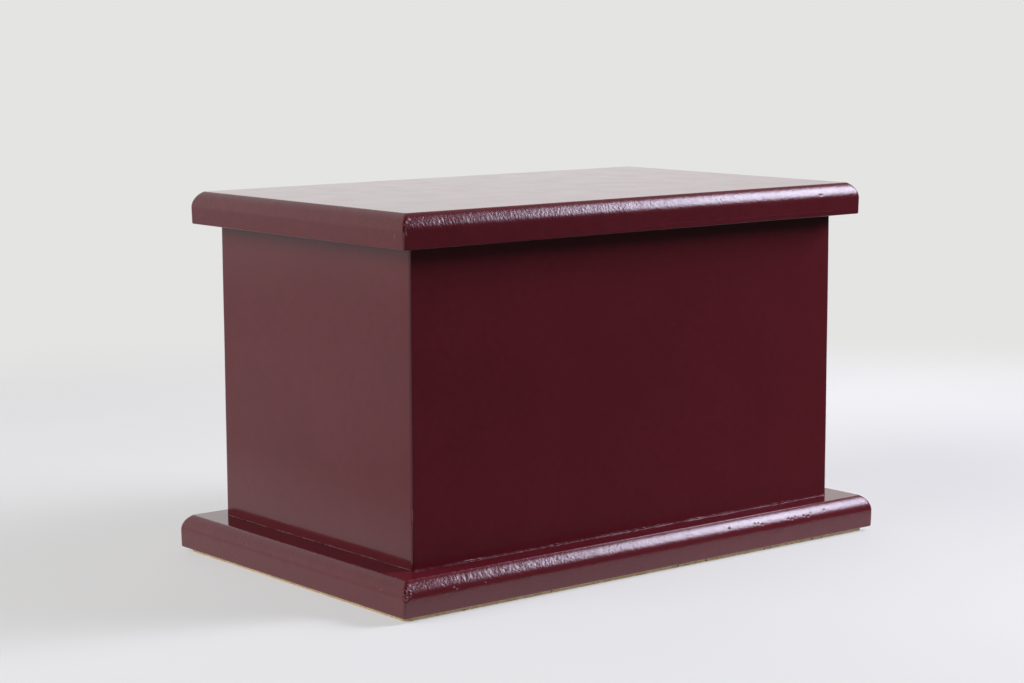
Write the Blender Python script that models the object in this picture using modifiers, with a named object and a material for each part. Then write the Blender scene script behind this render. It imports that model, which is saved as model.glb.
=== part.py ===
"""Memorial urn: a painted wooden box with a lift-off lid, on a moulded base.

Four mitred boards stand on a wide base slab, and a lid slab overhangs them. The lid and the
base have the same rounded-over upper edge. The origin is the middle of the underside, +X runs
along the long front, -Y is the front and +Z is up. Lengths are in metres.
"""

import math

import bmesh
import bpy

# Box
BODY_LENGTH = 0.250
BODY_WIDTH = 0.146
BODY_HEIGHT = 0.137
WALL_THICKNESS = 0.015
BODY_ARRIS_RADIUS = 0.0010

# Lid
LID_THICKNESS = 0.015
LID_OVERHANG = 0.010
TONGUE_DEPTH = 0.004
TONGUE_CLEARANCE = 0.001

# Base and the sheet under it
BASE_THICKNESS = 0.015
BASE_OVERHANG = 0.016
PAD_THICKNESS = 0.002
PAD_INSET = 0.003
PAD_CORNER_RADIUS = 0.004

# Edge moulding of the lid and the base: a thin slab keeps part of its edge upright
MOULD_HEIGHT = 0.0075
MOULD_INSET = 0.0043
MOST_MOULD_SHARE = 0.8

# Easing of the slabs' arrises: edges that turn less than this stay crisp, as the
# moulding's top arris does
SLAB_EASE = 0.0006
LEAST_EASED_TURN = math.radians(35)

# Clearance between pieces that touch
GAP = 0.0003

# How finely round shapes are faceted, and the turn past which an edge is shaded sharp
MOULD_STEPS = 12
ARRIS_STEPS = 4
EASE_STEPS = 2
CORNER_STEPS = 6
LEAST_SHARP_TURN = math.radians(25)

# How far a helper block, and what it cuts, run past the finished faces
MARGIN = 0.005

# Heights of the main faces
BASE_BOTTOM = PAD_THICKNESS + GAP
BASE_TOP = BASE_BOTTOM + BASE_THICKNESS
LID_BOTTOM = BASE_TOP + BODY_HEIGHT

# Finishes
PAINT_COLOUR = (0.066, 0.0085, 0.0130, 1.0)
PAINT_ROUGHNESS = 0.22
CORK_COLOUR = (0.330, 0.205, 0.115, 1.0)
CORK_ROUGHNESS = 0.85


def clear_scene():
    for scene_object in list(bpy.data.objects):
        bpy.data.objects.remove(scene_object, do_unlink=True)


def new_collection(name):
    collection = bpy.data.collections.new(name)
    bpy.context.scene.collection.children.link(collection)
    return collection


def new_material(name, colour, roughness):
    material = bpy.data.materials.new(name)
    material.use_nodes = True
    material.diffuse_color = colour
    shader = material.node_tree.nodes["Principled BSDF"]
    shader.inputs["Base Color"].default_value = colour
    shader.inputs["Roughness"].default_value = roughness
    shader.inputs["Metallic"].default_value = 0.0
    return material


def new_object(name, shape, collection, material=None):
    """Turns the finished bmesh into a named object, shaded smooth except at clear edges."""
    mesh = bpy.data.meshes.new(name)
    shape.to_mesh(mesh)
    shape.free()
    mesh.shade_smooth()
    mesh.set_sharp_from_angle(angle=LEAST_SHARP_TURN)
    if material:
        mesh.materials.append(material)
    made = bpy.data.objects.new(name, mesh)
    collection.objects.link(made)
    return made


def block(length, width, height):
    """A box that stands on the origin, as a bmesh."""
    shape = bmesh.new()
    bmesh.ops.create_cube(shape, size=1.0)
    bmesh.ops.translate(shape, verts=shape.verts, vec=(0, 0, 0.5))
    bmesh.ops.scale(shape, verts=shape.verts, vec=(length, width, height))
    return shape


def round_upright_edges(shape, radius, steps):
    upright = [edge for edge in shape.edges if edge.verts[0].co.xy == edge.verts[1].co.xy]
    bmesh.ops.bevel(
        shape, geom=upright, offset=radius, segments=steps, profile=0.5, affect="EDGES"
    )


def helper(made):
    """Marks an object that only cuts or joins other shapes."""
    made.hide_render = True
    made.display_type = "WIRE"
    return made


def combine(piece, other, operation):
    step = piece.modifiers.new(other.name, "BOOLEAN")
    step.operation = operation
    step.solver = "EXACT"
    step.object = other


def mould_points(height, inset):
    """Points of the rounded-over edge as (inward, upward), from its foot to the top face.

    The arc starts upright and has leant in by inset when it has risen by height, so it turns
    through twice the angle whose tangent is inset over height. It meets the flat top at a
    clear arris.
    """
    sweep = 2 * math.atan(inset / height)
    radius = height / math.sin(sweep)
    angles = [sweep * step / MOULD_STEPS for step in range(MOULD_STEPS + 1)]
    return [(radius * (1 - math.cos(angle)), radius * math.sin(angle)) for angle in angles]


def moulded_slab(name, overhang, thickness, bottom, collection, material):
    """A slab that stands out round the box, with a rounded-over upper edge on all four sides.

    It starts as a block as high as the upright part of the edge. Its top face is then drawn
    in and up, from each point of the moulding to the next.
    """
    height = min(MOULD_HEIGHT, MOST_MOULD_SHARE * thickness)
    shape = block(BODY_LENGTH + 2 * overhang, BODY_WIDTH + 2 * overhang, thickness - height)
    top = max(shape.faces, key=lambda face: face.calc_center_median().z)
    points = mould_points(height, MOULD_INSET)
    for here, there in zip(points, points[1:]):
        bmesh.ops.inset_region(
            shape,
            faces=[top],
            thickness=there[0] - here[0],
            depth=there[1] - here[1],
            use_even_offset=True,
        )
    slab = new_object(name, shape, collection, material)
    slab.location.z = bottom
    ease = slab.modifiers.new("eased arrises", "BEVEL")
    ease.width = SLAB_EASE
    ease.segments = EASE_STEPS
    ease.limit_method = "ANGLE"
    ease.angle_limit = LEAST_EASED_TURN
    return slab


def make_lid(collection, helpers, material):
    """The lid slab with a shallow tongue below it, which drops inside the walls."""
    lid = moulded_slab("lid", LID_OVERHANG, LID_THICKNESS, LID_BOTTOM, collection, material)
    less = 2 * (WALL_THICKNESS + TONGUE_CLEARANCE)
    root = LID_THICKNESS / 2
    shape = block(BODY_LENGTH - less, BODY_WIDTH - less, TONGUE_DEPTH + root)
    tongue = helper(new_object("lid_tongue", shape, helpers))
    tongue.location.z = LID_BOTTOM - TONGUE_DEPTH
    combine(lid, tongue, "UNION")


def make_wall(name, length, width, turn, blank, collection, material):
    """A board of the box, mitred at both ends, with its outer corners eased.

    It is made at the front and turned about the box's middle. length is the box's outside
    along the board, and width is the box's outside across it. A prism whose ends run at 45
    degrees is cut back to the eased outside of the box by the blank.
    """
    setback = GAP / math.sqrt(2)
    inner_half = length / 2 - WALL_THICKNESS - setback
    outer_half = length / 2 + MARGIN - setback
    inner_y = WALL_THICKNESS - width / 2
    outer_y = -width / 2 - MARGIN
    shape = block(1.0, 1.0, BODY_HEIGHT - 2 * GAP)
    for vert in shape.verts:
        outer = vert.co.y < 0
        half = outer_half if outer else inner_half
        vert.co.x = math.copysign(half, vert.co.x)
        vert.co.y = outer_y if outer else inner_y
    wall = new_object(name, shape, collection, material)
    wall.location.z = BASE_TOP + GAP
    wall.rotation_euler.z = math.radians(turn)
    combine(wall, blank, "INTERSECT")


def make_body(collection, helpers, material):
    """Four boards round the empty inside."""
    outside = block(BODY_LENGTH, BODY_WIDTH, BODY_HEIGHT + 2 * MARGIN)
    round_upright_edges(outside, BODY_ARRIS_RADIUS, ARRIS_STEPS)
    blank = helper(new_object("body_outside", outside, helpers))
    blank.location.z = BASE_TOP - MARGIN
    boards = (
        ("front_wall", BODY_LENGTH, BODY_WIDTH, 0),
        ("right_wall", BODY_WIDTH, BODY_LENGTH, 90),
        ("back_wall", BODY_LENGTH, BODY_WIDTH, 180),
        ("left_wall", BODY_WIDTH, BODY_LENGTH, -90),
    )
    for name, length, width, turn in boards:
        make_wall(name, length, width, turn, blank, collection, material)


def make_pad(collection, material):
    """The thin sheet under the base, a little smaller than it, with rounded corners."""
    growth = 2 * (BASE_OVERHANG - PAD_INSET)
    sheet = block(BODY_LENGTH + growth, BODY_WIDTH + growth, PAD_THICKNESS)
    round_upright_edges(sheet, PAD_CORNER_RADIUS, CORNER_STEPS)
    new_object("cork_pad", sheet, collection, material)


def main():
    clear_scene()
    urn = new_collection("memorial_urn")
    helpers = new_collection("helpers")
    paint = new_material("burgundy_paint", PAINT_COLOUR, PAINT_ROUGHNESS)
    cork = new_material("cork", CORK_COLOUR, CORK_ROUGHNESS)
    make_pad(urn, cork)
    moulded_slab("base", BASE_OVERHANG, BASE_THICKNESS, BASE_BOTTOM, urn, paint)
    make_body(urn, helpers, paint)
    make_lid(urn, helpers, paint)


main()
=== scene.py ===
"""The memorial urn's looks: burgundy paint over fibreboard, on a thin sheet of cork.

Lengths are in metres, in the frame's own axes: +X runs along the long front, -Y is the front and
+Z is up. Sizes and places of marks are written in millimetres, times MM.
"""

import math

import bpy
import numpy as np
from mathutils import Matrix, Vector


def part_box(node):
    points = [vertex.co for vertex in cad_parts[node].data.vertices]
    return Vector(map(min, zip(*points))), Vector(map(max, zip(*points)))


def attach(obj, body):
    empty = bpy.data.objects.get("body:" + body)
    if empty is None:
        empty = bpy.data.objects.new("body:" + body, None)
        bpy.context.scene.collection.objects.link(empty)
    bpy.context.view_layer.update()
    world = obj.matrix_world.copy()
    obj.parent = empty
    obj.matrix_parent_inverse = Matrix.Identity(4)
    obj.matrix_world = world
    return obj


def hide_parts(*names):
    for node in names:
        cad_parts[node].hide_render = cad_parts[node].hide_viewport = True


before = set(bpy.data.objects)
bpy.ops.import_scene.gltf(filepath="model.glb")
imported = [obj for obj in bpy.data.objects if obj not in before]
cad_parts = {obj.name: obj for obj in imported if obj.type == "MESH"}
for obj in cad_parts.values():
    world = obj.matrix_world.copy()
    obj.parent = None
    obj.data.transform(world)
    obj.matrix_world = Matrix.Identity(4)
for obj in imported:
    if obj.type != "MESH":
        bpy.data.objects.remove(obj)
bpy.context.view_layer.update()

MM = 0.001

# The camera: its place, and how it is turned, in degrees
CAMERA_PLACE = (-703.19 * MM, -859.59 * MM, 251.6 * MM)
CAMERA_AZIMUTH = -38.808
CAMERA_ELEVATION = 7.974
CAMERA_ROLL = -0.229
CAMERA_LENS = 83.30

# Outlines and edges of the boards
SLAB_CORNER_RADIUS = 1.0 * MM
BODY_CORNER_RADIUS = 1.0 * MM
PAD_CORNER_RADIUS = 4.0 * MM
MOULD_HEIGHT = 7.5 * MM
MOULD_INSET = 4.3 * MM
SIDE_LEAN = 0.16 * MM
FOOT_RADIUS = 0.5 * MM
PAINT_SOFTENING = 0.22 * MM
CORK_SOFTENING = 0.12 * MM
WALL_THICKNESS = 15.0 * MM
LID_OVERHANG = 10.0 * MM
TONGUE_DEPTH = 4.0 * MM
TONGUE_CLEARANCE = 1.0 * MM
TONGUE_INSET = LID_OVERHANG + WALL_THICKNESS + TONGUE_CLEARANCE

# How far a profile runs on over the flat faces, and over those of the tongue and the cork
FLAT_RUN = 10.0 * MM
SHORT_RUN = 8.0 * MM

# The four boards of the box, and how far the box and the base reach across the frame's clearances
WALLS = ("front_wall", "right_wall", "back_wall", "left_wall")
BOX_REACH = 0.25 * MM
BASE_REACH = 0.28 * MM

# The slight unevenness of the faces, each layer as the length and the height of its waves
EDGE_WAVE = (9.0 * MM, 0.010 * MM)
EDGE_RIPPLE = (3.2 * MM, 0.004 * MM)
SLAB_WAVE = (60.0 * MM, 0.007 * MM)
BOX_WAVE = (45.0 * MM, 0.020 * MM)
BOX_RIPPLE = (12.0 * MM, 0.004 * MM)
CRUMB_WAVE = (1.6 * MM, 0.12 * MM)

# The line that the router left along the lower front edge of the lid
RIDGE_ABOVE_BOTTOM = 2.1 * MM
RIDGE_WIDTH = 0.28 * MM
RIDGE_HEIGHT = 0.105 * MM
RIDGE_FROM = -45.0 * MM
RIDGE_TO = 135.0 * MM
RIDGE_FADE_LEFT = 60.0 * MM
RIDGE_FADE_RIGHT = 8.0 * MM
RIDGE_BREAK_LENGTH = 7.0 * MM

# The paint that gathers where the box stands on the base
BEAD_REACH = 0.24 * MM
BEAD_HEIGHT = 0.45 * MM
LUMP_LENGTH = 3.0 * MM

# How far the box's front left corner is rubbed away, and how far along its left side
CORNER_WEAR = 0.12 * MM
CORNER_WEAR_REACH = 9.0 * MM

# How deep a full chip is, and how far the bead stands out where it holds all of its dust
CHIP_DEPTH = 0.25 * MM
BEAD_DUST_REACH = 0.05 * MM

# Marks, each as its centre, its reach along X, Y and Z, and its depth, in millimetres
LID_MARKS = (
    ((-133.9, -82.2, 165.0), (1.5, 1.6, 0.6), 0.30),
    ((-131.8, -82.2, 165.9), (1.6, 1.6, 0.6), 0.32),
    ((-130.0, -82.0, 166.9), (1.2, 1.4, 0.5), 0.26),
    ((-134.9, -82.8, 160.4), (0.8, 1.2, 2.2), 0.18),
    ((-133.5, -83.0, 162.2), (0.7, 1.2, 2.2), 0.50),
    ((-115.6, -82.2, 165.2), (0.7, 1.6, 1.0), 0.10),
    ((-113.8, -82.2, 166.0), (0.6, 1.6, 1.3), 0.10),
    ((108.7, -82.5, 164.6), (2.4, 1.6, 0.7), 0.14),
)
BASE_MARKS = (
    ((-141.2, -89.2, 17.6), (5.0, 5.0, 3.0), 1.10),
    ((-114.6, -88.7, 12.2), (0.9, 1.6, 0.8), 0.24),
    ((-113.2, -88.9, 10.9), (1.0, 1.6, 0.7), 0.28),
    ((-111.0, -86.8, 14.2), (0.9, 2.0, 2.2), 0.07),
    ((-107.9, -86.8, 14.2), (0.7, 2.0, 2.6), 0.08),
    ((-104.3, -86.8, 14.2), (0.8, 2.0, 2.4), 0.08),
    ((-99.2, -86.8, 14.2), (0.9, 2.0, 2.4), 0.10),
    ((-98.0, -88.8, 11.6), (0.7, 1.6, 0.8), 0.20),
    ((-93.4, -86.6, 14.4), (0.9, 2.0, 2.0), 0.06),
    ((-86.7, -87.5, 14.6), (0.8, 1.4, 1.2), 0.12),
    ((-78.6, -87.4, 14.8), (0.8, 1.2, 0.9), 0.10),
    ((-69.4, -87.5, 14.6), (0.6, 1.2, 1.0), 0.10),
    ((-64.5, -86.6, 14.2), (0.6, 1.8, 1.6), 0.12),
    ((-58.0, -87.3, 15.0), (1.0, 1.2, 0.8), 0.10),
    ((45.7, -87.8, 14.2), (0.8, 1.2, 0.8), 0.20),
    ((62.0, -87.9, 14.1), (0.8, 1.2, 0.8), 0.14),
    ((64.4, -88.0, 13.9), (0.7, 1.2, 0.8), 0.18),
    ((66.8, -88.3, 13.2), (0.9, 1.2, 0.7), 0.14),
    ((83.9, -88.2, 13.5), (0.8, 1.2, 0.7), 0.16),
    ((86.3, -88.4, 13.0), (0.9, 1.2, 0.7), 0.20),
    ((88.6, -88.1, 13.6), (0.7, 1.2, 0.7), 0.15),
    ((94.6, -88.2, 13.4), (0.8, 1.2, 0.7), 0.15),
    ((97.0, -88.4, 12.9), (1.0, 1.2, 0.7), 0.20),
    ((99.4, -87.9, 14.1), (0.7, 1.2, 0.8), 0.14),
    ((108.5, -87.6, 14.4), (0.8, 1.2, 0.7), 0.16),
    ((-141.0, 41.2, 5.4), (1.2, 1.0, 0.7), 0.20),
    ((-141.0, 37.4, 4.9), (1.2, 0.8, 0.6), 0.16),
)
BODY_MARKS = (
    ((-124.8, -72.8, 41.5), (0.7, 0.7, 4.2), 0.28),
    ((-124.9, -72.9, 96.0), (0.5, 0.5, 2.5), 0.10),
    ((-26.9, -73.0, 86.8), (2.6, 1.0, 0.5), 0.05),
    ((-67.5, -73.0, 58.4), (0.8, 0.6, 0.8), 0.06),
    ((77.0, -73.0, 56.0), (0.8, 0.6, 0.8), 0.06),
)
# Chips with a raised rim, at the base's front corner
BASE_RINGS = (
    ((-140.0, -88.0, 13.6), (1.6, 1.6, 1.6), 0.34),
    ((-139.8, -88.4, 10.9), (1.5, 1.5, 1.5), 0.34),
    ((-137.6, -88.4, 12.9), (1.3, 1.5, 2.2), 0.26),
)

# Places where the stations are close together, because of marks: along X on the box's front, and
# along Y on the left side of the lid, the base and the box. Each has a reach.
BOX_FINE_PLACES = (
    (-125.0 * MM, 3.0 * MM),
    (-67.5 * MM, 2.0 * MM),
    (-26.9 * MM, 3.0 * MM),
    (77.0 * MM, 2.0 * MM),
)
LID_FINE_LEFT = ((-80.0 * MM, 6.0 * MM),)
BASE_FINE_LEFT = ((-86.0 * MM, 6.0 * MM), (39.0 * MM, 5.0 * MM))
BOX_FINE_LEFT = ((-73.0 * MM, 8.0 * MM),)
LID_MARK_REACH = 3.0 * MM
BASE_MARK_REACH = 2.5 * MM

# The height of the long mark on the box's corner, whose rings are close together
SCAR_HEIGHT = 42.0 * MM

# Steps between the rings and stations of a surface
FINE_STEP = 0.45 * MM
EDGE_STEP = 0.9 * MM
HIDDEN_STEP = 1.8 * MM
FLAT_STEP = 4.0 * MM
BEAD_STEP = 0.16 * MM
SCAR_STEP = 0.7 * MM
CORK_EDGE_STEP = 0.3 * MM
INSIDE_STEP = 12.0 * MM
CORNER_STEPS = 5
MOST_TURN = math.radians(7)

# The steps along the front, right, back and left sides
SIDE_STEPS = (EDGE_STEP, HIDDEN_STEP, HIDDEN_STEP, EDGE_STEP)


def arc(centre, radius, start, end):
    """Points of an arc as (inward, height); the angle is 0 outwards and 90 degrees upwards."""
    angle = np.radians(np.linspace(start, end, 41))
    return np.stack([centre[0] - radius * np.cos(angle), centre[1] + radius * np.sin(angle)], 1)


def softened(line, radius):
    """The line with its bends rounded: a bell-weighted mean of close, even points along it."""
    step = radius / 8
    along = np.concatenate([[0], np.cumsum(np.linalg.norm(np.diff(line, axis=0), axis=1))])
    even = np.arange(0, along[-1], step)
    dense = np.stack([np.interp(even, along, line[:, axis]) for axis in (0, 1)], 1)
    reach = np.arange(-24, 25)
    bell = np.exp(-0.5 * (reach * step / radius) ** 2)
    padded = np.pad(dense, ((24, 24), (0, 0)), mode="reflect", reflect_type="odd")
    means = [np.convolve(padded[:, axis], bell / bell.sum(), mode="valid") for axis in (0, 1)]
    return np.stack(means, 1)


def thinned(line, longest):
    """Points of the line where its turn over MOST_TURN plus its length over longest adds up to
    whole numbers, so they are close together round bends and far apart along straight runs."""
    run = np.diff(line, axis=0)
    length = np.linalg.norm(run, axis=1)
    heading = np.unwrap(np.arctan2(run[:, 1], run[:, 0]))
    turn = np.abs(np.diff(heading, prepend=heading[0]))
    count = np.concatenate([[0], np.cumsum(turn / MOST_TURN + length / longest(line[1:]))])
    wanted = np.linspace(0, count[-1], int(round(count[-1])) + 1)
    return np.stack([np.interp(wanted, count, line[:, axis]) for axis in (0, 1)], 1)


def places_along(length, step, fine_at=()):
    """Shares from -1 to 1 along a side. The step shrinks to FINE_STEP near the places in fine_at."""
    at = np.linspace(-length / 2, length / 2, 2001)
    near = np.full_like(at, 1.0)
    for place, reach in fine_at:
        near = np.minimum(near, np.clip((np.abs(at - place) - reach) / (4 * EDGE_STEP), 0, 1))
    width = FINE_STEP + (step - FINE_STEP) * near
    count = np.concatenate([[0], np.cumsum(2 / (width[1:] + width[:-1]) * np.diff(at))])
    wanted = np.linspace(0, count[-1], int(round(count[-1])) + 1)
    return np.interp(wanted, count, at) / (length / 2)


def outline(half, steps, fine_front=(), fine_left=()):
    """Stations round a rectangle with rounded corners, as shares (-1 to 1) and outward directions.

    They run along the front, right, back and left sides in turn. A station lies at
    share * (half - inward - radius) + outward * radius.
    """
    front = places_along(2 * half[0], steps[0], fine_front)
    right = places_along(2 * half[1], steps[1])
    back = -places_along(2 * half[0], steps[2])
    left = places_along(2 * half[1], steps[3], fine_left)[::-1]
    shares, outwards = [], []
    for side, (along, start) in enumerate(zip((front, right, back, left), (-90, 0, 90, 180))):
        across = np.ones_like(along) * (-1 if side in (0, 3) else 1)
        pair = (along, across) if side in (0, 2) else (across, along)
        shares.append(np.stack(pair, 1)[:-1])
        outwards.append(np.tile(direction(start), (len(along) - 1, 1)))
        corner = np.linspace(start, start + 90, CORNER_STEPS + 1)[:-1]
        shares.append(np.tile(np.stack(pair, 1)[-1], (CORNER_STEPS, 1)))
        outwards.append(direction(corner))
    return np.concatenate(shares), np.concatenate(outwards)


def direction(degrees):
    """Unit vectors in the floor's plane, 0 degrees along +X and 90 along +Y."""
    angle = np.radians(degrees)
    return np.stack([np.cos(angle), np.sin(angle)], -1)


def swept(stations, half, radius, profile):
    """Carries a profile of (inward, height) points round the outline, as a grid of points:
    the rows follow the profile and the columns follow the outline."""
    shares, outwards = stations
    inward = profile[:, 0][:, None, None]
    flat = shares * (np.array(half) - radius - inward) + outwards * radius
    height = np.repeat(profile[:, 1][:, None], len(shares), axis=1)
    return np.dstack([flat, height])


def facing(grid):
    """Outward directions of a grid's points, from the steps along its rows and columns."""
    along = np.roll(grid, -1, axis=1) - np.roll(grid, 1, axis=1)
    down = np.gradient(grid, axis=0)
    normal = np.cross(down, along)
    return normal / np.maximum(np.linalg.norm(normal, axis=2, keepdims=True), 1e-12)


def waves(points, length, seed):
    """Smooth random values of about -2 to 2: a sum of sine waves, each with its own direction,
    phase and length near the given one."""
    draw = np.random.default_rng(seed)
    count = 20
    turn = draw.normal(size=(3, count))
    turn /= np.linalg.norm(turn, axis=0) * length * draw.uniform(0.7, 1.5, count)
    phase = draw.uniform(0, 2 * math.pi, count)
    return np.sin(2 * math.pi * (points @ turn) + phase).sum(-1) / math.sqrt(count / 2)


def layer(points, wave, seed):
    """One layer of unevenness: waves of the given length, times their height."""
    length, height = wave
    return height * waves(points, length, seed)


def mark_depth(points, marks):
    """How deep the marks go at each point: depth times (1 - d^2)^2, where d is the distance from
    the mark's centre as a share of its reach."""
    total = np.zeros(points.shape[:2])
    for centre, reach, depth in marks:
        share = (points - np.array(centre) * MM) / (np.array(reach) * MM)
        away = np.clip((share ** 2).sum(-1), 0, 1)
        total += depth * MM * (1 - away) ** 2
    return total


def ring_depth(points, rings):
    """Round chips with a raised rim. The depth is a cosine of the distance from the centre, times
    the root of what is left of the reach: deep at the centre and at 0.8 of the reach, and raised
    at 0.4."""
    total = np.zeros(points.shape[:2])
    for centre, reach, depth in rings:
        share = (points - np.array(centre) * MM) / (np.array(reach) * MM)
        away = np.clip(np.sqrt((share ** 2).sum(-1)), 0, 1)
        total += depth * MM * np.cos(math.pi * away * 2.5) * (1 - away) ** 0.5
    return total


def scattered_marks(half, heights, count, seed):
    """Small dents at seeded places along the right, back and left edges of a slab."""
    draw = np.random.default_rng(seed)
    marks = []
    for side in draw.integers(0, 3, count):
        along = draw.uniform(-0.95, 0.95)
        height = draw.uniform(*heights)
        sign = (1, 0, -1)[side]
        place = (sign * half[0], along * half[1]) if sign else (along * half[0], half[1])
        reach = draw.uniform(0.7, 1.6, 3)
        marks.append(((place[0] / MM, place[1] / MM, height / MM), reach, draw.uniform(0.08, 0.2)))
    return tuple(marks)


def closed_surface(name, grid, ends="poles"):
    """A mesh of the grid's quads. Its columns run round; its rows either end in a pole at the
    middle of the first and the last row, or join up with each other."""
    rows, columns = grid.shape[:2]
    index = np.arange(rows * columns).reshape(rows, columns)
    below = np.roll(index, -1, axis=0) if ends == "joined" else index[1:]
    above = index if ends == "joined" else index[:-1]
    quads = np.stack([above, below, np.roll(below, -1, 1), np.roll(above, -1, 1)], -1)
    faces = quads.reshape(-1, 4).tolist()
    points = grid.reshape(-1, 3)
    if ends == "poles":
        top, bottom = rows * columns, rows * columns + 1
        points = np.concatenate([points, [grid[0].mean(0), grid[-1].mean(0)]])
        first, last = index[0], index[-1]
        faces += np.stack([np.full(columns, top), first, np.roll(first, -1)], 1).tolist()
        faces += np.stack([np.full(columns, bottom), np.roll(last, -1), last], 1).tolist()
    mesh = bpy.data.meshes.new(name)
    mesh.from_pydata(points.tolist(), [], faces)
    mesh.shade_smooth()
    made = bpy.data.objects.new(name, mesh)
    bpy.context.scene.collection.objects.link(made)
    return made


def keep_values(piece, name, values):
    """Stores a value per grid point on the piece, for its material. The poles take the mean of
    the rows that they close."""
    spare = len(piece.data.vertices) - values.size
    poles = [values[0].mean(), values[-1].mean()][:spare]
    stored = piece.data.attributes.new(name, "FLOAT", "POINT")
    stored.data.foreach_set("value", np.append(values.ravel(), poles).astype(np.float32))


def with_flat_ends(grid):
    """Adds rows that shrink the first and the last row towards the middle of the flat faces."""
    def shrink(row, shares):
        middle = row.mean(0)
        return middle + np.array(shares)[:, None, None] * (row - middle)
    shares = (0.05, 0.2, 0.4, 0.6, 0.8, 0.95)
    return np.concatenate([shrink(grid[0], shares), grid, shrink(grid[-1], shares[::-1])])


def box_of(*names):
    """Half the length and width, and the lowest and highest level, of some of the frame's pieces."""
    corners = np.array([[tuple(corner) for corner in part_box(name)] for name in names])
    low, high = corners[:, 0].min(0), corners[:, 1].max(0)
    return (high[:2] - low[:2]) / 2, low[2], high[2]


def slab_profile(bottom, top, under):
    """The edge of a slab from its top face down and round to its underside, as (inward, height).

    The rounded-over part is an arc that starts upright and leans in by MOULD_INSET as it rises by
    MOULD_HEIGHT. Below it the side leans in a little, down to a rounded foot.
    """
    sweep = 2 * math.atan(MOULD_INSET / MOULD_HEIGHT)
    radius = MOULD_HEIGHT / math.sin(sweep)
    start = [[MOULD_INSET + FLAT_RUN, top]]
    mould = arc((radius, top - MOULD_HEIGHT), radius, math.degrees(sweep), 0)
    foot = arc((SIDE_LEAN + FOOT_RADIUS, bottom + FOOT_RADIUS), FOOT_RADIUS, 0, -90)
    return softened(np.concatenate([start, mould, foot, under]), PAINT_SOFTENING)


def slab_steps(bottom):
    """Steps between a slab's rings: fine on the edge and finer at the ridge, coarse on the flats."""
    def longest(points):
        inward, height = points[:, 0], points[:, 1]
        edge = (inward < MOULD_INSET + MM) & (height > bottom + 0.1 * MM)
        ridge = np.abs(height - bottom - RIDGE_ABOVE_BOTTOM) < 3 * RIDGE_WIDTH
        return np.where(edge, np.where(ridge, RIDGE_WIDTH, FINE_STEP), FLAT_STEP)
    return longest


def edge_masks(grid, half, bottom, top):
    """Values for the paint: edge is 1 on a slab's cut edges and 0 on its flat faces, and arris is 1
    along its upper and lower arrises, where the paint is paler: worn paint and a painted highlight."""
    inward = np.minimum(half[0] - np.abs(grid[..., 0]), half[1] - np.abs(grid[..., 1]))
    height = grid[..., 2]
    edge = np.clip((MOULD_INSET + 0.3 * MM - inward) / (0.6 * MM), 0, 1)
    upper = np.hypot(inward - MOULD_INSET, height - top)
    lower = np.hypot(inward - SIDE_LEAN - 0.2 * MM, height - bottom - 0.2 * MM)
    # arris also marks where the paint is painted paler: worn paint, and a painted highlight on the
    # arrises
    arris = np.exp(-(np.minimum(upper, lower) / (0.35 * MM)) ** 2)
    return edge, arris


def finish_slab(name, grid, half, bottom, top, marks, rings, seed):
    """Makes a slab's mesh. Its points are moved outwards by waves that are short on the cut edges
    and long on the flat faces, and inwards by the depth of the marks. None leaves the slab's box."""
    normal = facing(grid)
    edge, arris = edge_masks(grid, half, bottom, top)
    depth = mark_depth(grid, marks) + ring_depth(grid, rings)
    chip = np.clip(depth / CHIP_DEPTH, 0, 1)
    uneven = (layer(grid, EDGE_WAVE, seed) + layer(grid, EDGE_RIPPLE, seed + 1)) * edge
    uneven += layer(grid, SLAB_WAVE, seed + 2) * (1 - edge)
    moved = grid + normal * (uneven - depth)[..., None]
    low = np.append(-half, bottom)
    high = np.append(half, top)
    piece = closed_surface(name, np.clip(moved, low, high))
    for label, values in (("edge", edge), ("arris", arris), ("chip", chip)):
        keep_values(piece, label, values)
    keep_values(piece, "coat", np.ones_like(edge))
    return piece


def make_lid():
    """The lid: a moulded slab whose underside steps down to the shallow tongue. The cutter's line
    is a bell-shaped ridge along its front edge, whose height varies and fades at both ends."""
    half, bottom, top = box_of("lid")
    underside = bottom + TONGUE_DEPTH
    under = [
        [TONGUE_INSET, underside],
        [TONGUE_INSET, bottom],
        [TONGUE_INSET + SHORT_RUN, bottom],
    ]
    profile = thinned(slab_profile(underside, top, under), slab_steps(underside))
    fine = [(mark[0][0] * MM, LID_MARK_REACH) for mark in LID_MARKS]
    stations = outline(half, SIDE_STEPS, fine, LID_FINE_LEFT)
    grid = with_flat_ends(swept(stations, half, SLAB_CORNER_RADIUS, profile))
    front = stations[1][:, 1] < -0.9
    along = grid[..., 0]
    faded = np.clip((along - RIDGE_FROM) / RIDGE_FADE_LEFT, 0, 1)
    faded *= np.clip((RIDGE_TO - along) / RIDGE_FADE_RIGHT, 0, 1)
    broken = waves(along[..., None] * [1, 0, 0], RIDGE_BREAK_LENGTH, 5)
    broken = np.clip(0.8 + 0.3 * broken, 0, 1.4)
    rise = np.exp(-((grid[..., 2] - underside - RIDGE_ABOVE_BOTTOM) / RIDGE_WIDTH) ** 2)
    outer = grid[..., 1] < -half[1] + MOULD_INSET
    grid[..., 1] -= RIDGE_HEIGHT * rise * faded * broken * front * outer
    marks = LID_MARKS + scattered_marks(half, (underside + 3 * MM, top - 2 * MM), 14, 11)
    return finish_slab("lid_slab", grid, half, bottom, top, marks, (), 21)


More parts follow.
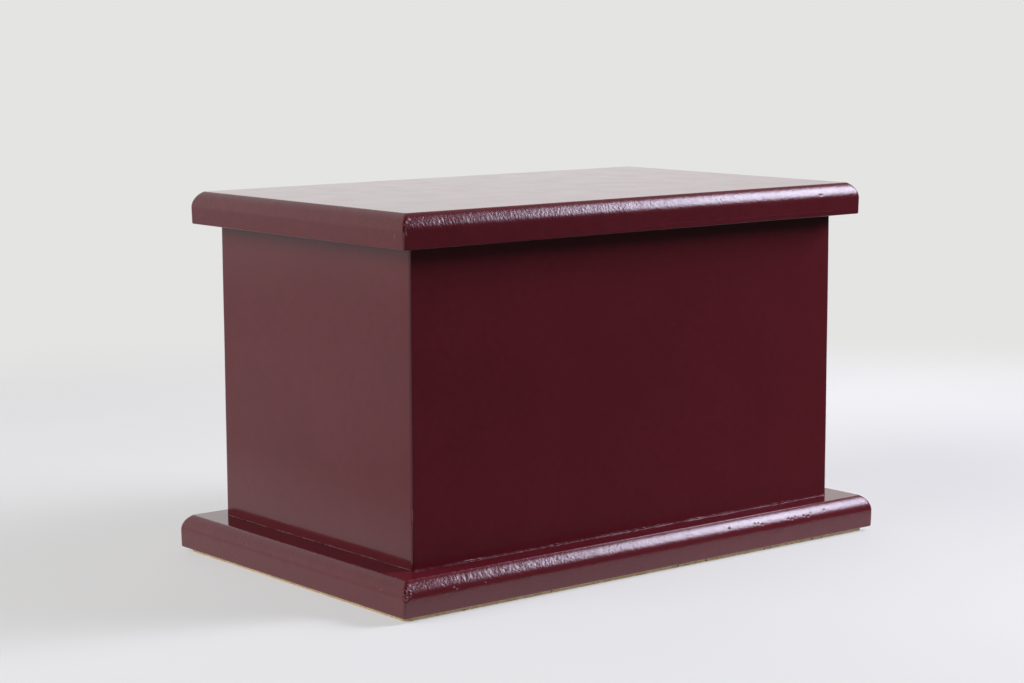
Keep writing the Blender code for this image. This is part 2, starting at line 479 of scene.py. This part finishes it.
def make_base():
    """The base: the same moulding, on a wider slab that is flat underneath."""
    half, bottom, top = box_of("base")
    bottom -= BASE_REACH
    under = [[SIDE_LEAN + FOOT_RADIUS + FLAT_RUN, bottom]]
    profile = thinned(slab_profile(bottom, top, under), slab_steps(bottom))
    fine = [(mark[0][0] * MM, BASE_MARK_REACH) for mark in BASE_MARKS + BASE_RINGS]
    stations = outline(half, SIDE_STEPS, fine, BASE_FINE_LEFT)
    grid = with_flat_ends(swept(stations, half, SLAB_CORNER_RADIUS, profile))
    marks = BASE_MARKS + scattered_marks(half, (bottom + 3 * MM, top - 2 * MM), 16, 12)
    return finish_slab("base_slab", grid, half, bottom, top, marks, BASE_RINGS, 31)


def box_steps(bottom):
    """Steps between the box's rings: finest at the bead, fine at the long mark, coarse inside."""
    def longest(points):
        outside = points[:, 0] < MM
        near_foot = outside & (points[:, 1] < bottom + 1.4 * MM)
        near_scar = outside & (np.abs(points[:, 1] - SCAR_HEIGHT) < 5 * MM)
        inside = points[:, 0] > WALL_THICKNESS - 0.2 * MM
        steps = [BEAD_STEP, INSIDE_STEP, SCAR_STEP]
        return np.select([near_foot, inside, near_scar], steps, FLAT_STEP)
    return longest


def bead_of_paint(grid, bottom):
    """How far the bead stands out at each point, and its lumps. It falls off as (1 - h)^2, where
    h is the height as a share of its own, and both swell and shrink along it."""
    swell = 1 + 0.12 * waves(grid, 14 * MM, 41) + 0.14 * waves(grid, 2.5 * MM, 42)
    swell = np.clip(swell, 0.5, 1.6)
    above = np.clip((grid[..., 2] - bottom) / (BEAD_HEIGHT * swell), 0, 1)
    lumps = np.clip(waves(grid, LUMP_LENGTH, 45) - 1.0, 0, 1) * (above < 0.9)
    return BEAD_REACH * (swell * (1 - above) ** 2 + 0.8 * lumps), lumps


def make_body():
    """The hollow box: one skin of paint over four boards. Its profile starts in the middle of the
    rim and runs down the outside, under the boards and up the inside, back to its start. The
    foot flares into a bead of paint."""
    half, bottom, top = box_of(*WALLS)
    bottom -= BOX_REACH
    top += BOX_REACH
    rim, inner = WALL_THICKNESS / 2, WALL_THICKNESS
    loop = np.array([[rim, top], [0, top], [0, bottom], [inner, bottom], [inner, top], [rim, top]])
    profile = thinned(softened(loop, PAINT_SOFTENING), box_steps(bottom))[:-1]
    stations = outline(half, SIDE_STEPS, BOX_FINE_PLACES, BOX_FINE_LEFT)
    grid = swept(stations, half, BODY_CORNER_RADIUS, profile)
    normal = facing(grid)
    outside = profile[:, 0][:, None] < 0.5 * MM
    bead, lumps = bead_of_paint(grid, bottom)
    bead *= outside
    beside = np.clip((grid[..., 1] + half[1]) / CORNER_WEAR_REACH, 0, 1)
    worn = CORNER_WEAR * (1 - beside) ** 2 * (stations[1][:, 0] < -0.5)
    depth = mark_depth(grid, BODY_MARKS)
    uneven = layer(grid, BOX_WAVE, 43) + layer(grid, BOX_RIPPLE, 44)
    grid[..., :2] += stations[1] * bead[..., None]
    grid += normal * ((uneven - depth - worn) * outside)[..., None]
    piece = closed_surface("box_body", grid, "joined")
    corner = np.hypot(grid[..., 0] + half[0], grid[..., 1] + half[1])
    dusty = depth / CHIP_DEPTH + lumps + 0.4 * np.clip(bead / BEAD_DUST_REACH, 0, 1)
    keep_values(piece, "edge", np.zeros(grid.shape[:2]))
    # The box's front left corner is painted a little paler: worn paint, and a painted highlight
    keep_values(piece, "arris", 0.2 * np.exp(-(corner / (0.6 * MM)) ** 2))
    keep_values(piece, "chip", np.clip(dusty, 0, 1) * outside)
    keep_values(piece, "coat", np.repeat(outside.astype(float), grid.shape[1], axis=1))
    return piece


def make_cork():
    """The cork sheet: a thin slab, flat on both sides, whose edge is crumbled by short waves."""
    half, bottom, top = box_of("cork_pad")
    edge = np.array([[SHORT_RUN, top], [0, top], [0, bottom], [SHORT_RUN, bottom]])

    def longest(points):
        return np.where(points[:, 0] < MM, CORK_EDGE_STEP, FLAT_STEP)

    profile = thinned(softened(edge, CORK_SOFTENING), longest)
    stations = outline(half, SIDE_STEPS)
    grid = with_flat_ends(swept(stations, half, PAD_CORNER_RADIUS, profile))
    to_edge = np.minimum(half[0] - np.abs(grid[..., 0]), half[1] - np.abs(grid[..., 1]))
    length, depth = CRUMB_WAVE
    crumbs = depth * (0.5 + 0.5 * np.clip(waves(grid, length, 51), -1, 1))
    grid -= facing(grid) * (crumbs * np.clip(1 - to_edge / MM, 0, 1))[..., None]
    low, high = np.append(-half, bottom), np.append(half, top)
    return closed_surface("cork_sheet", np.clip(grid, low, high))


# The paint's colours, and those of the dust in its chips and on its face
PAINT_COLOUR = (0.100, 0.0098, 0.0155, 1)
PAINT_BRIGHTER = (0.108, 0.0112, 0.0175, 1)
PAINT_DEEPER = (0.088, 0.0082, 0.0132, 1)
# Paler paint along the arrises: worn paint, and a painted highlight
PAINT_WORN_AND_HIGHLIT = (0.32, 0.13, 0.17, 1)
CHIP_DUST = (0.42, 0.26, 0.26, 1)
LOOSE_DUST = (0.5, 0.38, 0.38, 1)

# The layers of the paint's skin: how many there are per metre, and their heights in millimetres
RIPPLES_PER_METRE = 420.0
LINES_PER_METRE = 900.0
GRAINS_PER_METRE = 850.0
RIPPLE_HEIGHT = 0.0040
LINE_HEIGHT = 0.0008
GRAIN_HEIGHT = 0.088

# The cork's colours
CORK_COLOUR = (0.70, 0.52, 0.27, 1)
CORK_PALER = (0.78, 0.60, 0.35, 1)
CORK_DARKER = (0.26, 0.165, 0.085, 1)
CORK_HOLE = (0.10, 0.055, 0.03, 1)

# The stage: the floor's size, the opening under the urn, and where it fades into the backdrop
FLOOR_HALF = 3.0
FLOOR_HOLE = (0.1365, 0.0845)
FLOOR_NEAR = 0.42
FLOOR_FAR = 0.80
FLOOR_COLOUR = (0.305, 0.305, 0.30, 1)
FLOOR_PALER = (0.32, 0.32, 0.315, 1)
FLOOR_GLOW = (0.430, 0.430, 0.432, 1)

# Where light and reflections find the floor dark: the Y and the X between which that sets in
DARK_FRONT = (-0.108, -0.142)
DARK_LEFT = (-0.30, -0.16)
DARK_LEFT_SHARE = 0.41
DARK_LEFT_REACH = (1.1, 1.6)
DARK_GLOW = (0.05, 0.05, 0.05, 1)

# Where the floor glows less: the X and the Y between which that sets in, and by what shares
DIMMER_RIGHT = (0.05, 0.35)
DIMMER_FRONT = (0.0, 0.25)
DIMMER_SHARES = (0.25, -0.08)

# The surroundings: what the camera sees, what lights the urn, and the side where that is bright
BACKDROP = (0.775, 0.775, 0.765, 1)
SURROUND_COLOUR = (1.0, 0.985, 0.98, 1)
BRIGHT_SIDE = (0.25, 0.97, 0.0)


def add_node(tree, kind, column, row, inputs=(), **settings):
    """Adds a node in a column and row of the tree. inputs gives, for a socket's name or number,
    a value or the output that feeds it; settings are the node's own properties."""
    made = tree.nodes.new("ShaderNode" + kind)
    made.location = (column * 190, -row * 190)
    for name, value in settings.items():
        setattr(made, name, value)
    feed(tree, made, dict(inputs))
    return made


def feed(tree, node, inputs):
    """Sets a node's inputs, each from a value or from the output that feeds it."""
    for socket, value in inputs.items():
        if isinstance(value, bpy.types.NodeSocket):
            tree.links.new(value, node.inputs[socket])
        else:
            node.inputs[socket].default_value = value


def result_of(tree, column, row, operation, *values):
    """The result of one operation on the given values and outputs."""
    return add_node(tree, "Math", column, row, enumerate(values), operation=operation).outputs[0]


def ramp(tree, column, row, value, start, end, low=0.0, high=1.0, smooth=False):
    """Goes from low to high as the value goes from start to end, and stays level outside them."""
    made = add_node(tree, "MapRange", column, row, {
        "Value": value, "From Min": start, "From Max": end, "To Min": low, "To Max": high,
    })
    if smooth:
        made.interpolation_type = "SMOOTHSTEP"
    return made.outputs["Result"]


def blend(tree, column, row, share, first, second):
    """The first colour where the share is 0, and the second where it is 1."""
    inputs = {"Fac": share, "Color1": first, "Color2": second}
    return add_node(tree, "MixRGB", column, row, inputs).outputs[0]


def noise(tree, column, row, place, scale, detail):
    """A cloudy pattern of about 0.3 to 0.7. scale is its number of clouds per metre."""
    inputs = {"Vector": place, "Scale": scale, "Detail": detail}
    return add_node(tree, "TexNoise", column, row, inputs).outputs[0]


def new_group(name, inputs, outputs):
    """A node group with named sockets: its tree, its inputs and its results by name."""
    tree = bpy.data.node_groups.new(name, "ShaderNodeTree")
    for label, (kind, value) in inputs.items():
        made = tree.interface.new_socket(name=label, in_out="INPUT", socket_type="NodeSocket" + kind)
        made.default_value = value
    for label, kind in outputs.items():
        tree.interface.new_socket(name=label, in_out="OUTPUT", socket_type="NodeSocket" + kind)
    source = tree.nodes.new("NodeGroupInput")
    source.location = (-200, 0)
    result = tree.nodes.new("NodeGroupOutput")
    result.location = (1500, 0)
    return tree, source.outputs, result.inputs


def colour_drift_group():
    """A colour that drifts to another in soft patches: a noise of the given patch size, spread
    from its middle values to 0 and the given share."""
    tree, given, result = new_group(
        "colour drift",
        {
            "Position": ("Vector", (0, 0, 0)),
            "Colour": ("Color", (0.5, 0.5, 0.5, 1)),
            "Other Colour": ("Color", (0.5, 0.5, 0.5, 1)),
            "Patches per Metre": ("Float", 50.0),
            "Share": ("Float", 0.5),
        },
        {"Colour": "Color"},
    )
    patches = noise(tree, 0, 1, given["Position"], given["Patches per Metre"], 3.0)
    share = ramp(tree, 1, 1, patches, 0.35, 0.65, 0.0, given["Share"])
    tree.links.new(blend(tree, 2, 0, share, given["Colour"], given["Other Colour"]), result["Colour"])
    return tree


def speck_group():
    """Sparse round specks: 1 near the middle of some of the cells of a cell pattern. Cells whose
    own random number is under Density have one, and Size is its radius as a share of a cell."""
    tree, given, result = new_group(
        "specks",
        {
            "Position": ("Vector", (0, 0, 0)),
            "Cells per Metre": ("Float", 100.0),
            "Size": ("Float", 0.15),
            "Density": ("Float", 0.1),
        },
        {"Mask": "Float"},
    )
    inputs = {"Vector": given["Position"], "Scale": given["Cells per Metre"]}
    cells = add_node(tree, "TexVoronoi", 0, 0, inputs).outputs
    number = add_node(tree, "SeparateXYZ", 1, 1, {"Vector": cells["Color"]}).outputs
    chosen = result_of(tree, 2, 1, "LESS_THAN", number["X"], given["Density"])
    share = result_of(tree, 1, 0, "DIVIDE", cells["Distance"], given["Size"])
    spot = ramp(tree, 2, 0, share, 1.0, 0.4, smooth=True)
    tree.links.new(result_of(tree, 3, 0, "MULTIPLY", spot, chosen), result["Mask"])
    return tree


def paint_skin_group():
    """The paint's fine relief in millimetres, as a sum: the soft ripple of sprayed paint, fine
    roller lines along the boards, and on cut edges the grain of the fibreboard under the paint."""
    tree, given, result = new_group(
        "paint skin",
        {
            "Position": ("Vector", (0, 0, 0)),
            "Edge": ("Float", 0.0),
            "Ripple": ("Float", 0.003),
            "Lines": ("Float", 0.002),
            "Grain": ("Float", 0.02),
        },
        {"Height": "Float"},
    )

    def skin_layer(row, scale, stretch, amount):
        """A noise centred on 0, stretched by the three shares, times amount."""
        inputs = {0: given["Position"], 1: stretch}
        placed = add_node(tree, "VectorMath", 0, row, inputs, operation="MULTIPLY").outputs[0]
        centred = result_of(tree, 2, row, "SUBTRACT", noise(tree, 1, row, placed, scale, 2.0), 0.5)
        return result_of(tree, 3, row, "MULTIPLY", centred, amount)

    ripple = skin_layer(0, RIPPLES_PER_METRE, (1, 1, 1), given["Ripple"])
    lines = skin_layer(1, LINES_PER_METRE, (0.03, 0.03, 1), given["Lines"])
    on_edge = result_of(tree, 2, 3, "MULTIPLY", given["Grain"], given["Edge"])
    grain = skin_layer(2, GRAINS_PER_METRE, (1, 1, 0.8), on_edge)
    both = result_of(tree, 4, 0, "ADD", ripple, lines)
    tree.links.new(result_of(tree, 5, 0, "ADD", both, grain), result["Height"])
    return tree


def new_material(name):
    """A material with a Principled shader and the place on the piece: tree, shader, position."""
    material = bpy.data.materials.new(name)
    material.use_nodes = True
    tree = material.node_tree
    shader = tree.nodes["Principled BSDF"]
    shader.location = (1700, 0)
    tree.nodes["Material Output"].location = (2000, 0)
    place = add_node(tree, "TexCoord", -1, 0)
    return material, tree, shader, place.outputs["Object"]


def add_group(tree, group, column, row, inputs):
    """Places a node group in a material, with the given inputs."""
    made = tree.nodes.new("ShaderNodeGroup")
    made.node_tree = group
    made.location = (column * 190, -row * 190)
    feed(tree, made, inputs)
    return made.outputs


def attribute(tree, name, row):
    """The value that a piece stores under a name."""
    return add_node(tree, "Attribute", -1, row, attribute_name=name).outputs["Fac"]


def paint_tone(tree, place, drift, dust, arris, chip):
    """The paint's colour. It drifts a little in large and in small patches, is paler along the
    arrises, as worn paint and as a painted highlight, is paler in dusty chips, and has faint specks of
    dust."""
    tone = add_group(tree, drift, 1, 0, {
        "Position": place, "Colour": PAINT_COLOUR, "Other Colour": PAINT_BRIGHTER,
        "Patches per Metre": 28.0, "Share": 1.0,
    })["Colour"]
    tone = add_group(tree, drift, 2, 0, {
        "Position": place, "Colour": tone, "Other Colour": PAINT_DEEPER,
        "Patches per Metre": 260.0, "Share": 0.45,
    })["Colour"]
    # Paler along the arrises, in uneven patches: worn paint, and a painted highlight
    uneven = ramp(tree, 2, 3, noise(tree, 1, 3, place, 500.0, 3.0), 0.40, 0.62, 0.0, 0.32)
    worn_and_highlit = blend(tree, 4, 0, result_of(tree, 3, 3, "MULTIPLY", uneven, arris), tone, PAINT_WORN_AND_HIGHLIT)
    chipped = blend(tree, 5, 0, result_of(tree, 3, 4, "MULTIPLY", chip, 0.16), worn_and_highlit, CHIP_DUST)
    return blend(tree, 6, 0, result_of(tree, 4, 1, "MULTIPLY", dust, 0.16), chipped, LOOSE_DUST)


def paint_relief(tree, place, skin, dust, edge):
    """The direction that the paint faces: its skin, with a low bump under each speck of dust."""
    relief = add_group(tree, skin, 1, 2, {
        "Position": place, "Edge": edge,
        "Ripple": RIPPLE_HEIGHT, "Lines": LINE_HEIGHT, "Grain": GRAIN_HEIGHT,
    })["Height"]
    height = result_of(tree, 5, 2, "MULTIPLY_ADD", dust, 0.02, relief)
    return add_node(tree, "Bump", 6, 2, {"Height": height, "Distance": MM}).outputs[0]


def paint_roughness(tree, place, edge, chip, coat):
    """The paint is glossy with soft clouds, duller on cut edges, more so in chips, and duller
    still inside the box, where coat is 0."""
    smooth = ramp(tree, 2, 4, noise(tree, 1, 4, place, 60.0, 3.0), 0.3, 0.7, 0.10, 0.14)
    inside = ramp(tree, 3, 5, coat, 0.0, 1.0, 0.45, 0.0)
    rough = result_of(tree, 4, 4, "ADD", smooth, inside)
    rough = result_of(tree, 4, 5, "MULTIPLY_ADD", edge, 0.08, rough)
    return result_of(tree, 5, 4, "MULTIPLY_ADD", chip, 0.5, rough)


def burgundy_paint(drift, specks, skin):
    """Burgundy gloss paint, from the values that each painted piece stores: edge on cut edges, arris
    along the arrises, which are painted paler as worn paint and as a painted highlight, chip in marks,
    and coat where the paint is full."""
    material, tree, shader, place = new_material("burgundy_paint_finish")
    edge = attribute(tree, "edge", 2)
    arris = attribute(tree, "arris", 3)
    chip = attribute(tree, "chip", 4)
    coat = attribute(tree, "coat", 5)
    dust = add_group(tree, specks, 3, 1, {
        "Position": place, "Cells per Metre": 210.0, "Size": 0.045, "Density": 0.10,
    })["Mask"]
    feed(tree, shader, {
        "Base Color": paint_tone(tree, place, drift, dust, arris, chip),
        "Normal": paint_relief(tree, place, skin, dust, edge),
        "Roughness": paint_roughness(tree, place, edge, chip, coat),
        "IOR": 1.6,
    })
    return material


def bare_cork(drift, specks):
    """Cork: tan granules with darker ones among them, dull, with small holes."""
    material, tree, shader, place = new_material("cork_finish")
    granules = add_node(tree, "TexVoronoi", 0, 1, {"Vector": place, "Scale": 650.0}).outputs
    number = add_node(tree, "SeparateXYZ", 1, 1, {"Vector": granules["Color"]}).outputs
    tone = add_group(tree, drift, 2, 0, {
        "Position": place, "Colour": CORK_COLOUR, "Other Colour": CORK_PALER,
        "Patches per Metre": 90.0, "Share": 1.0,
    })["Colour"]
    darker = ramp(tree, 2, 1, number["X"], 0.55, 1.0, 0.0, 0.35)
    mottled = blend(tree, 3, 0, darker, tone, CORK_DARKER)
    holes = add_group(tree, specks, 3, 2, {
        "Position": place, "Cells per Metre": 400.0, "Size": 0.28, "Density": 0.25,
    })["Mask"]
    lower = result_of(tree, 4, 2, "MULTIPLY", holes, -0.15)
    height = result_of(tree, 5, 2, "MULTIPLY_ADD", granules["Distance"], -0.10, lower)
    feed(tree, shader, {
        "Base Color": blend(tree, 4, 0, holes, mottled, CORK_HOLE),
        "Normal": add_node(tree, "Bump", 6, 2, {"Height": height, "Distance": MM}).outputs[0],
        "Roughness": ramp(tree, 3, 3, number["Y"], 0.0, 1.0, 0.8, 0.95),
    })
    return material


def floor_glow(tree, side):
    """How strongly the floor glows: a share less towards the right, most of all near the front."""
    right = ramp(tree, 1, 6, side["X"], *DIMMER_RIGHT, smooth=True)
    share = ramp(tree, 1, 7, side["Y"], *DIMMER_FRONT, *DIMMER_SHARES, smooth=True)
    less = result_of(tree, 2, 6, "MULTIPLY", right, share)
    return result_of(tree, 3, 6, "SUBTRACT", 1.0, less)


def floor_darkness(tree, side, away):
    """Where light and reflections find the floor dark: fully in front of DARK_FRONT, except on the
    left of DARK_LEFT, where it is dark by DARK_LEFT_SHARE, up to DARK_LEFT_REACH away."""
    front = ramp(tree, 1, 1, side["Y"], *DARK_FRONT, smooth=True)
    right = ramp(tree, 1, 3, side["X"], *DARK_LEFT, smooth=True)
    front = result_of(tree, 2, 3, "MULTIPLY", front, right)
    left = ramp(tree, 2, 4, right, 0.0, 1.0, DARK_LEFT_SHARE, 0.0)
    near = ramp(tree, 2, 5, away, *DARK_LEFT_REACH, 1.0, 0.0)
    left = result_of(tree, 3, 4, "MULTIPLY", left, near)
    return result_of(tree, 3, 3, "MAXIMUM", front, left)


def floor_finish():
    """The plain pale floor. Its own glow stands for the even light of the room, so shadows stay
    faint. It fades into the backdrop far away, and it can't be seen from below. Part of it is
    there for the camera only, and dark for light and reflections."""
    material, tree, shader, place = new_material("pale_floor")
    side = add_node(tree, "SeparateXYZ", 0, 1, {"Vector": place}).outputs
    away = add_node(tree, "VectorMath", 0, 0, {0: place}, operation="LENGTH").outputs["Value"]
    feed(tree, shader, {
        "Base Color": blend(tree, 1, 8, noise(tree, 0, 8, place, 9.0, 2.0), FLOOR_COLOUR, FLOOR_PALER),
        "Roughness": 0.9,
        "Specular IOR Level": 0.2,
        "Emission Color": FLOOR_GLOW,
        "Emission Strength": floor_glow(tree, side),
    })
    rays = add_node(tree, "LightPath", 1, 2).outputs
    faces = add_node(tree, "NewGeometry", 2, 2).outputs
    gone = ramp(tree, 1, 0, away, FLOOR_NEAR, FLOOR_FAR, smooth=True)
    faded = result_of(tree, 2, 0, "MULTIPLY", rays["Is Camera Ray"], gone)
    hidden = result_of(tree, 3, 0, "MAXIMUM", faded, faces["Backfacing"])
    unseen = result_of(tree, 2, 1, "SUBTRACT", 1.0, rays["Is Camera Ray"])
    darkened = result_of(tree, 4, 1, "MULTIPLY", unseen, floor_darkness(tree, side, away))
    clear = add_node(tree, "BsdfTransparent", 9, 2).outputs[0]
    dark = add_node(tree, "Emission", 9, 3, {"Color": DARK_GLOW, "Strength": rays["Is Glossy Ray"]})
    shown = add_node(tree, "MixShader", 10, 1, {0: hidden, 1: shader.outputs[0], 2: clear})
    final = add_node(tree, "MixShader", 11, 1, {
        0: darkened, 1: shown.outputs[0], 2: dark.outputs[0],
    })
    tree.links.new(final.outputs[0], tree.nodes["Material Output"].inputs["Surface"])
    return material


def make_floor():
    """A wide flat ring of four faces; its opening lies under the urn, where it can't be seen."""
    outer = np.array([(-1, -1, 0), (1, -1, 0), (1, 1, 0), (-1, 1, 0)]) * FLOOR_HALF
    inner = outer / FLOOR_HALF * [FLOOR_HOLE[0], FLOOR_HOLE[1], 0]
    mesh = bpy.data.meshes.new("floor")
    faces = [(side, (side + 1) % 4, (side + 1) % 4 + 4, side + 4) for side in range(4)]
    mesh.from_pydata(np.concatenate([outer, inner]).tolist(), [], faces)
    floor = bpy.data.objects.new("floor", mesh)
    bpy.context.scene.collection.objects.link(floor)
    mesh.materials.append(floor_finish())


def make_world():
    """Plain studio surroundings: the camera sees a pale backdrop. What lights the urn is bright
    behind it and dark in front of it, less bright high up, and less in second reflections."""
    world = bpy.data.worlds.new("studio")
    bpy.context.scene.world = world
    world.use_nodes = True
    tree = world.node_tree
    tree.nodes.clear()
    around = add_node(tree, "TexCoord", 0, 0).outputs["Generated"]
    inputs = {0: around, 1: BRIGHT_SIDE}
    behind = add_node(tree, "VectorMath", 1, 0, inputs, operation="DOT_PRODUCT").outputs["Value"]
    height = add_node(tree, "SeparateXYZ", 1, 1, {"Vector": around}).outputs["Z"]
    rays = add_node(tree, "LightPath", 2, 2).outputs
    strength = result_of(
        tree, 3, 0, "MULTIPLY",
        ramp(tree, 2, 0, behind, 0.0, 0.9, 0.03, 0.92),
        ramp(tree, 2, 1, height, 0.15, 0.55, 1.0, 0.82, smooth=True),
    )
    again = ramp(tree, 3, 2, rays["Glossy Depth"], 1.0, 2.0, 1.0, 0.35)
    strength = result_of(tree, 4, 0, "MULTIPLY", strength, again)
    lit = add_node(tree, "Background", 5, 0, {"Color": SURROUND_COLOUR, "Strength": strength})
    plain = add_node(tree, "Background", 5, 1, {"Color": BACKDROP, "Strength": 1.0})
    final = add_node(tree, "MixShader", 6, 0, {
        0: rays["Is Camera Ray"], 1: lit.outputs[0], 2: plain.outputs[0],
    })
    output = add_node(tree, "OutputWorld", 7, 0)
    tree.links.new(final.outputs[0], output.inputs["Surface"])


def fade_edges(lamp, core):
    """Fades a light from full strength to nothing towards its edges. core is the share of its
    width and height that keeps the full strength."""
    lamp.use_nodes = True
    tree = lamp.node_tree
    tree.nodes.clear()
    spot = add_node(tree, "NewGeometry", 0, 0).outputs["Parametric"]
    parts = add_node(tree, "SeparateXYZ", 1, 0, {0: spot}).outputs
    fades = []
    for row, axis in enumerate("XY"):
        across = result_of(tree, 2, row, "SUBTRACT", parts[axis], 0.5)
        away = result_of(tree, 3, row, "ABSOLUTE", across)
        fades.append(ramp(tree, 4, row, away, core[row] / 2, 0.5, 1.0, 0.0, smooth=True))
    strength = result_of(tree, 5, 0, "MULTIPLY", *fades)
    glow = add_node(tree, "Emission", 6, 0, {"Strength": strength})
    output = add_node(tree, "OutputLight", 7, 0)
    tree.links.new(glow.outputs[0], output.inputs["Surface"])


def place_light(name, azimuth, elevation, distance, size, power, colour, mirrored=True, core=None):
    """A soft rectangular light that faces the urn. Azimuth 0 is in front and 90 degrees at the
    right. size is its width and height; its width runs along the urn's length as far as it can,
    so that the edge of its reflection crosses the long mouldings squarely."""
    lamp = bpy.data.lights.new(name, "AREA")
    lamp.shape = "RECTANGLE"
    lamp.size, lamp.size_y = size
    lamp.energy = power
    lamp.color = colour
    if core:
        fade_edges(lamp, core)
    light = bpy.data.objects.new(name, lamp)
    towards = looking_back(azimuth, elevation)
    right = np.array([1.0, 0.0, 0.0]) - towards[0] * towards
    right /= np.linalg.norm(right)
    turn = Matrix(np.stack([right, np.cross(towards, right), towards], 1).tolist())
    light.matrix_world = Matrix.Translation((towards * distance).tolist()) @ turn.to_4x4()
    light.visible_camera = False
    light.visible_glossy = mirrored
    bpy.context.scene.collection.objects.link(light)


def place_lights():
    """A tall cool light at the right, whose reflection runs along the mouldings, and two small
    ones that have no reflection: one for the shadow on the left and one for the left side."""
    place_light(
        "tall", azimuth=58.8, elevation=35.0, distance=2.2, size=(0.66, 2.0), power=70.5,
        colour=(0.81, 0.80, 1.0), core=(0.38, 0.2),
    )
    place_light(
        "key", azimuth=64, elevation=30, distance=1.25, size=(0.5, 0.5), power=16.5,
        colour=(0.9, 0.9, 1.0), mirrored=False,
    )
    place_light(
        "fill", azimuth=-100, elevation=30, distance=1.6, size=(1.0, 1.0), power=18.1,
        colour=(1.0, 0.98, 0.97), mirrored=False,
    )


def looking_back(azimuth, elevation):
    """The direction from the urn to what stands at that azimuth and elevation, in degrees."""
    around, up = math.radians(azimuth), math.radians(elevation)
    level = math.cos(up)
    return np.array([math.sin(around) * level, -math.cos(around) * level, math.sin(up)])


def turned(back, roll):
    """The turn, as columns right, up and back, of a camera that looks along -back."""
    right = np.cross([0, 0, 1], back)
    right /= np.linalg.norm(right)
    up = np.cross(back, right)
    cosine, sine = math.cos(math.radians(roll)), math.sin(math.radians(roll))
    return np.stack([cosine * right + sine * up, cosine * up - sine * right, back], 1)


def place_camera():
    """The camera, at the photograph's place and angle."""
    camera = bpy.data.cameras.new("camera")
    camera.lens = CAMERA_LENS
    camera.clip_start = 0.01
    holder = bpy.data.objects.new("camera", camera)
    turn = Matrix(turned(looking_back(CAMERA_AZIMUTH, CAMERA_ELEVATION), CAMERA_ROLL).tolist())
    holder.matrix_world = Matrix.Translation(CAMERA_PLACE) @ turn.to_4x4()
    bpy.context.scene.collection.objects.link(holder)
    bpy.context.scene.camera = holder


def dress(piece, material, slot, *nodes):
    """Gives a piece its finish and its place in the frame."""
    piece.data.materials.append(material)
    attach(piece, "root")
    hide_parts(*nodes)


def main():
    place_camera()
    make_world()
    place_lights()
    make_floor()
    drift, specks, skin = colour_drift_group(), speck_group(), paint_skin_group()
    paint = burgundy_paint(drift, specks, skin)
    cork = bare_cork(drift, specks)
    dress(make_lid(), paint, "burgundy_paint", "lid")
    dress(make_body(), paint, "burgundy_paint", *WALLS)
    dress(make_base(), paint, "burgundy_paint", "base")
    dress(make_cork(), cork, "cork", "cork_pad")
    bpy.context.scene.view_settings.view_transform = "Standard"


main()
